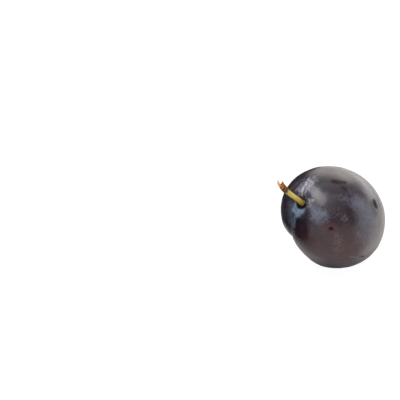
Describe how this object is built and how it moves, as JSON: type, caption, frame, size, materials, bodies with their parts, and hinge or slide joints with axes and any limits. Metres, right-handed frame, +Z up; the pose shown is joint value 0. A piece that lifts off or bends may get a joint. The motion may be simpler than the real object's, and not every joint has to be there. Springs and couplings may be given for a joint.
{
  "type": "plum",
  "caption": "Oval blue plum with a shallow groove down one side and a short woody stalk in the hollow at one end, lying on a small flat spot.",
  "frame": {"origin": "middle of the flat spot that the plum rests on", "axes": "+Z up, away from the surface it rests on; +X is the level direction that the stalk end faces"},
  "size_m": [0.0555, 0.0436, 0.0496],
  "materials": {
    "skin": "satin",
    "green_wood": "matte"
  },
  "bodies": {
    "root": {"fruit": "skin", "stalk": "green_wood"}
  },
  "joints": []
}
